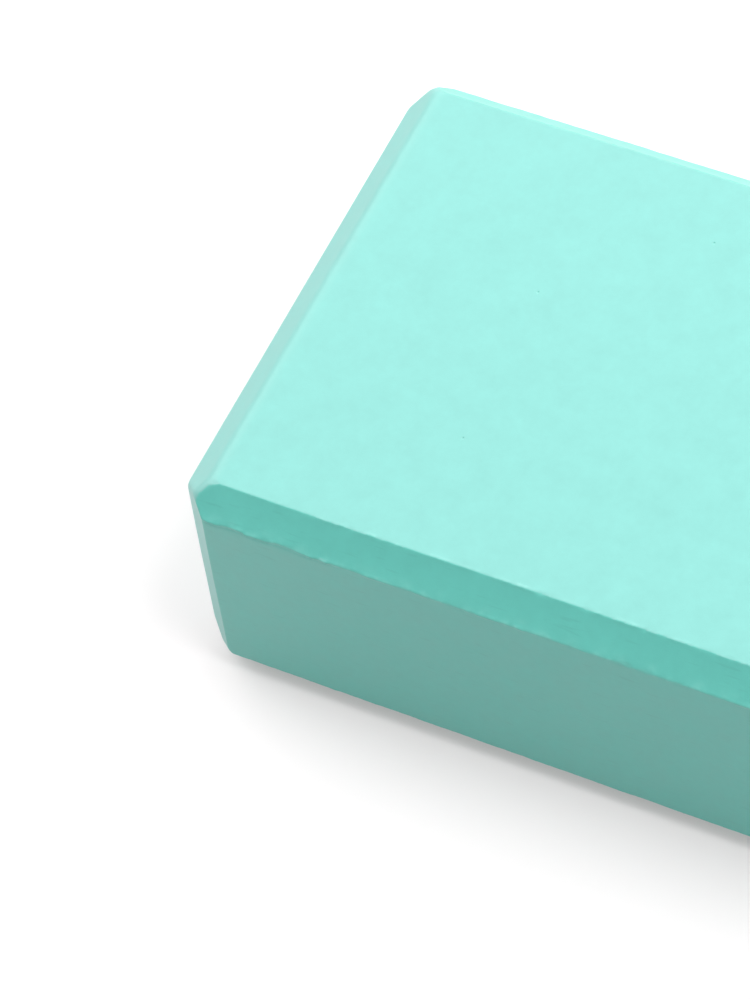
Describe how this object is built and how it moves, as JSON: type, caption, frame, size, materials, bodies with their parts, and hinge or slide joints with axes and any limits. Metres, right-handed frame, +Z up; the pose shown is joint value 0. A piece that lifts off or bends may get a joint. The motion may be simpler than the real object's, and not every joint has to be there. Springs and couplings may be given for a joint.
{
  "type": "yoga block",
  "caption": "Rectangular foam yoga block with bevelled edges and corners, laminated from foam slabs, used to raise or support the body on any of its flat faces.",
  "frame": {"origin": "middle of the face the block rests on", "axes": "+X along the length, +Y across the width towards the rear, +Z up through the thickness"},
  "size_m": [0.228, 0.152, 0.076],
  "materials": {
    "foam": "matte",
    "bond": "satin"
  },
  "bodies": {
    "root": {"upper_foam_slab": "foam", "lower_foam_slab": "foam", "bond_film": "bond"}
  },
  "joints": []
}
